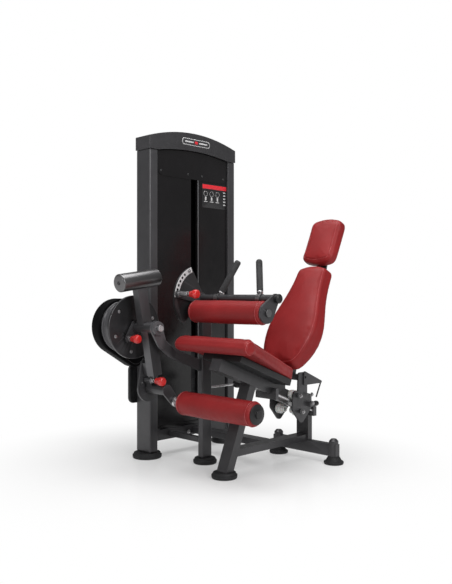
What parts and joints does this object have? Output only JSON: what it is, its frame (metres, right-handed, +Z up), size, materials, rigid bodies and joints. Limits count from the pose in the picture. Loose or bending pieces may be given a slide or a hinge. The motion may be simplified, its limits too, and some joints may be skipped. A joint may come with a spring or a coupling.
{
  "type": "leg extension machine",
  "caption": "Seated leg extension and leg curl machine: swinging arm with shin roller, hinged thigh pad, sliding backrest and a shrouded weight stack tower.",
  "frame": {"origin": "on the floor, at the centre of the underside of the centre post's foot", "axes": "+X along the rollers to the seated user's left, +Y behind the user, +Z up"},
  "size_m": [0.8705, 1.0634, 1.59],
  "materials": {
    "frame_paint": "charcoal powder coat, fine texture, satin",
    "shroud_gloss": "smoked black gloss panel",
    "upholstery_red": "matt red synthetic leather with fine grain",
    "knob_red": "bright red moulded plastic",
    "bright_steel": "plain bright steel",
    "black_plastic": "fine-textured moulded black plastic",
    "foot_rubber": "dull black rubber",
    "grip_rubber": "soft dark foam rubber",
    "wheel_nylon": "off-white turned nylon",
    "stack_iron": "black painted cast iron"
  },
  "bodies": {
    "frame": {"tower_frame": "frame_paint", "top_cap": "frame_paint", "slotted_shroud": "shroud_gloss", "back_shroud": "shroud_gloss", "upper_trim_panel": "shroud_gloss", "resting_weight_plates": "stack_iron", "guide_rod_front": "bright_steel", "guide_rod_rear": "bright_steel", "tower_foot_front": "foot_rubber", "tower_foot_rear": "foot_rubber", "centre_post": "frame_paint", "centre_foot": "foot_rubber", "seat_frame": "frame_paint", "front_foot": "foot_rubber", "rear_foot_right": "foot_rubber", "rear_foot_left": "foot_rubber", "link_beam": "frame_paint", "seat_pan": "black_plastic", "seat_cushion": "upholstery_red", "knee_bearing_bracket": "frame_paint", "belt_housing": "black_plastic", "lower_pulley_cover": "black_plastic", "thigh_lock_plate": "frame_paint", "lock_hole_strip": "bright_steel", "seat_guide_rod_left": "bright_steel", "seat_guide_rod_right": "bright_steel"},
    "stack": {"lifted_weight_plates": "stack_iron"},
    "selector": {"selector_pin": "knob_red"},
    "pulley": {"top_pulley": "black_plastic"},
    "cam": {"knee_shaft": "bright_steel", "cam_drum": "frame_paint", "start_position_disc": "frame_paint"},
    "arm": {"swing_arm": "frame_paint", "counterweight": "frame_paint"},
    "start_pin": {"start_plunger": "knob_red"},
    "crank": {"ankle_crank": "frame_paint", "ankle_axle": "bright_steel", "ankle_end_cap": "black_plastic"},
    "ankle_pin": {"ankle_plunger": "knob_red"},
    "ankle_pad": {"ankle_roller": "upholstery_red"},
    "thigh": {"thigh_bar": "frame_paint", "thigh_bar_cap": "black_plastic", "thigh_axle": "bright_steel", "grip_left_post": "bright_steel", "grip_left_sleeve": "grip_rubber", "grip_right_post": "bright_steel", "grip_right_sleeve": "grip_rubber"},
    "thigh_pin": {"thigh_plunger": "knob_red"},
    "thigh_pad": {"thigh_roller": "upholstery_red"},
    "carriage": {"carriage_plate_left": "frame_paint", "carriage_plate_right": "frame_paint", "back_post": "frame_paint", "backrest_cushion": "upholstery_red", "headrest_cushion": "upholstery_red"},
    "wheel_upper_left": {"upper_wheel_left": "wheel_nylon"},
    "wheel_upper_right": {"upper_wheel_right": "wheel_nylon"},
    "wheel_lower_left": {"lower_wheel_left": "wheel_nylon"},
    "wheel_lower_right": {"lower_wheel_right": "wheel_nylon"},
    "lever": {"release_lever": "frame_paint"},
    "latch": {"latch_knob": "black_plastic"}
  },
  "joints": [
    {"name": "cam_turn", "type": "hinge", "parent": "frame", "child": "cam", "pos_m": [0, -0.29, 0.637], "axis": [-1, 0, 0], "range_deg": [0, 85]},
    {"name": "stack_lift", "type": "slide", "parent": "frame", "child": "stack", "axis": [0, 0, 1], "range_m": [0, 0.18]},
    {"name": "selector_pull", "type": "slide", "parent": "stack", "child": "selector", "axis": [1, 0, 0], "range_m": [0, 0.03]},
    {"name": "pulley_turn", "type": "hinge", "parent": "frame", "child": "pulley", "pos_m": [-0.2825, 0.11, 1.376], "axis": [1, 0, 0], "range_deg": [0, 260]},
    {"name": "arm_start_angle", "type": "hinge", "parent": "cam", "child": "arm", "pos_m": [0, -0.29, 0.637], "axis": [-1, 0, 0], "range_deg": [-12, 12]},
    {"name": "start_plunger_slide", "type": "slide", "parent": "arm", "child": "start_pin", "axis": [1, 0, 0], "range_m": [-0.009, 0]},
    {"name": "ankle_adjust", "type": "hinge", "parent": "arm", "child": "crank", "pos_m": [0, -0.238, 0.361], "axis": [1, 0, 0], "range_deg": [-60, 30]},
    {"name": "ankle_plunger_slide", "type": "slide", "parent": "crank", "child": "ankle_pin", "axis": [1, 0, 0], "range_m": [-0.01, 0]},
    {"name": "ankle_roller_spin", "type": "hinge", "parent": "crank", "child": "ankle_pad", "pos_m": [0.266, -0.193, 0.307], "axis": [1, 0, 0], "continuous": true},
    {"name": "thigh_bar_turn", "type": "hinge", "parent": "frame", "child": "thigh", "pos_m": [0.25, -0.05, 0.768], "axis": [-1, 0, 0], "range_deg": [0, 42]},
    {"name": "thigh_plunger_slide", "type": "slide", "parent": "thigh", "child": "thigh_pin", "axis": [1, 0, 0], "range_m": [-0.014, 0]},
    {"name": "thigh_roller_spin", "type": "hinge", "parent": "thigh", "child": "thigh_pad", "pos_m": [0.262, -0.104, 0.709], "axis": [1, 0, 0], "continuous": true},
    {"name": "backrest_slide", "type": "slide", "parent": "frame", "child": "carriage", "axis": [0, 0.9304, -0.3665], "range_m": [0, 0.09]},
    {"name": "upper_wheel_left_roll", "type": "hinge", "parent": "carriage", "child": "wheel_upper_left", "pos_m": [0.312, 0.27, 0.32013], "axis": [1, 0, 0], "range_deg": [-225, 5]},
    {"name": "upper_wheel_right_roll", "type": "hinge", "parent": "carriage", "child": "wheel_upper_right", "pos_m": [0.212, 0.27, 0.32013], "axis": [1, 0, 0], "range_deg": [-225, 5]},
    {"name": "lower_wheel_left_roll", "type": "hinge", "parent": "carriage", "child": "wheel_lower_left", "pos_m": [0.312, 0.288, 0.24618], "axis": [1, 0, 0], "range_deg": [-5, 225]},
    {"name": "lower_wheel_right_roll", "type": "hinge", "parent": "carriage", "child": "wheel_lower_right", "pos_m": [0.212, 0.288, 0.24618], "axis": [1, 0, 0], "range_deg": [-5, 225]},
    {"name": "release_lever_turn", "type": "hinge", "parent": "carriage", "child": "lever", "pos_m": [0.337, 0.32, 0.4], "axis": [1, 0, 0], "range_deg": [0, 8]},
    {"name": "latch_slide", "type": "slide", "parent": "carriage", "child": "latch", "axis": [0, 1, 0], "range_m": [0, 0.013]}
  ],
  "couplings": [
    {"joint": "stack_lift", "follows": "cam_turn", "m_per_rad": 0.118},
    {"joint": "pulley_turn", "follows": "cam_turn", "ratio": 2.95},
    {"joint": "upper_wheel_left_roll", "follows": "backrest_slide", "rad_per_m": -42.553},
    {"joint": "upper_wheel_right_roll", "follows": "backrest_slide", "rad_per_m": -42.553},
    {"joint": "lower_wheel_left_roll", "follows": "backrest_slide", "rad_per_m": 42.553},
    {"joint": "lower_wheel_right_roll", "follows": "backrest_slide", "rad_per_m": 42.553},
    {"joint": "latch_slide", "follows": "release_lever_turn", "m_per_rad": 0.086}
  ]
}
